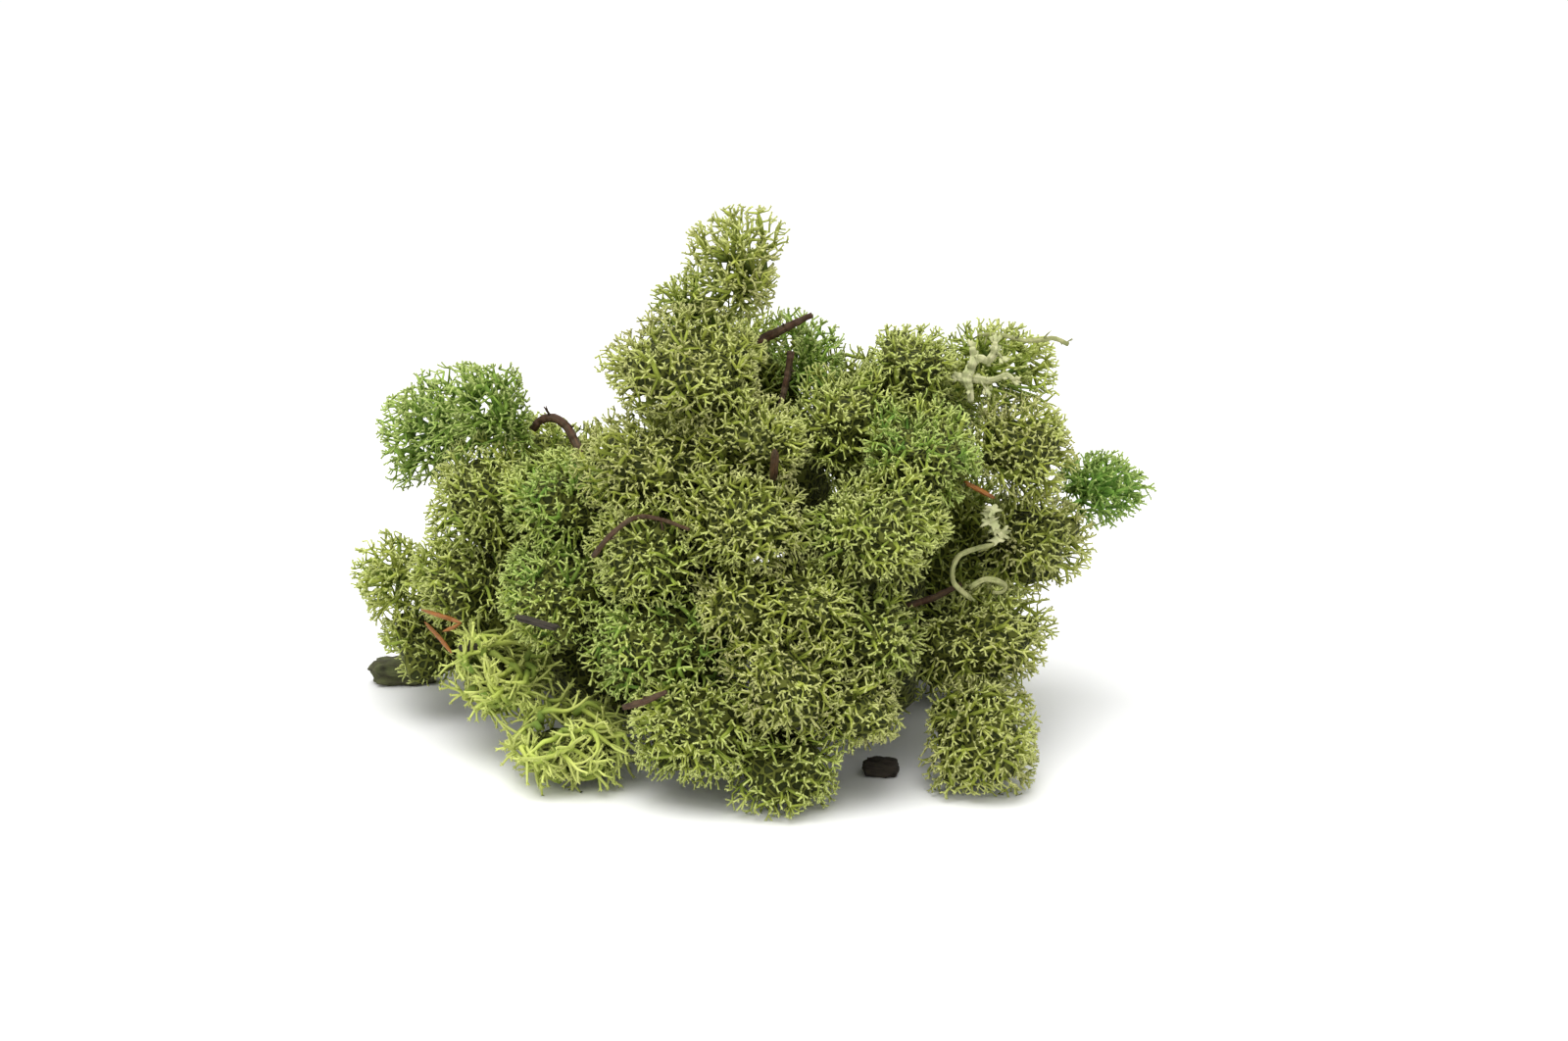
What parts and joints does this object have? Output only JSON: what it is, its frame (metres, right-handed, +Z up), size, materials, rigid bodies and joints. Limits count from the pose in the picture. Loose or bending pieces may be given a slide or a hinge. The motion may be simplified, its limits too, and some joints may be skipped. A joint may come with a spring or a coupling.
{
  "type": "preserved reindeer lichen heap",
  "caption": "Loose heap of soft branching reindeer lichen heads with bits of forest litter caught in it.",
  "frame": {"origin": "centre of the heap's footprint, on the surface that it lies on", "axes": "+X to the right along the heap's length, +Y to its back, +Z up"},
  "size_m": [0.1374, 0.1026, 0.0905],
  "materials": {
    "lichen_sage": "matte grey-green branch ends over darker green stems",
    "lichen_gold": "matte yellow-green, coarse branches",
    "lichen_green": "matte dyed green",
    "lichen_pale": "matte cream, leathery",
    "twig_brown": "dry bark",
    "needle_orange": "dry needle, slightly glossy",
    "bark_dark": "dark weathered bark"
  },
  "bodies": {
    "root": {"tuft_crown": "lichen_sage", "tuft_crown_side": "lichen_sage", "tuft_high_head": "lichen_sage", "tuft_saddle": "lichen_green", "tuft_ear_back": "lichen_green", "tuft_ear_front": "lichen_green", "tuft_shoulder_left": "lichen_sage", "tuft_brow_left": "lichen_sage", "tuft_chest_left": "lichen_sage", "tuft_collar": "lichen_sage", "tuft_chest": "lichen_sage", "tuft_rib_left": "lichen_sage", "tuft_flank_left": "lichen_sage", "tuft_far_left": "lichen_sage", "tuft_hip_left": "lichen_sage", "tuft_heel_left": "lichen_sage", "tuft_gold_upper": "lichen_gold", "tuft_gold_lower": "lichen_gold", "tuft_belly_left": "lichen_sage", "tuft_belly_mid": "lichen_sage", "tuft_belly_right": "lichen_sage", "tuft_front_left": "lichen_sage", "tuft_front_top": "lichen_sage", "tuft_front_low": "lichen_sage", "tuft_front_right": "lichen_sage", "tuft_knee_right": "lichen_sage", "tuft_hip_right": "lichen_sage", "tuft_foot_right": "lichen_sage", "tuft_dome_right": "lichen_sage", "tuft_cheek_right": "lichen_sage", "tuft_inner_right": "lichen_sage", "tuft_top_right": "lichen_sage", "tuft_top_far_right": "lichen_sage", "tuft_head_right": "lichen_sage", "tuft_far_right": "lichen_green", "tuft_flank_right": "lichen_sage", "tuft_back_high": "lichen_sage", "tuft_back_left_high": "lichen_sage", "tuft_back_left_low": "lichen_sage", "tuft_back_mid": "lichen_sage", "tuft_back_low": "lichen_sage", "tuft_back_right_high": "lichen_sage", "tuft_back_right_low": "lichen_sage", "tuft_back_far_right": "lichen_sage", "tuft_middle_left": "lichen_sage", "tuft_middle_right": "lichen_sage", "tuft_middle_top": "lichen_sage", "twig_slanted": "twig_brown", "twig_upright": "twig_brown", "root_arch": "twig_brown", "twig_centre": "twig_brown", "needle_fork": "needle_orange", "needle_single": "needle_orange", "dry_stem": "lichen_pale", "strap_stem": "lichen_pale", "bark_sliver": "bark_dark", "bark_rear": "bark_dark", "bark_floor": "bark_dark", "frill_lichen": "lichen_pale", "antler_lichen": "lichen_pale"}
  },
  "joints": []
}
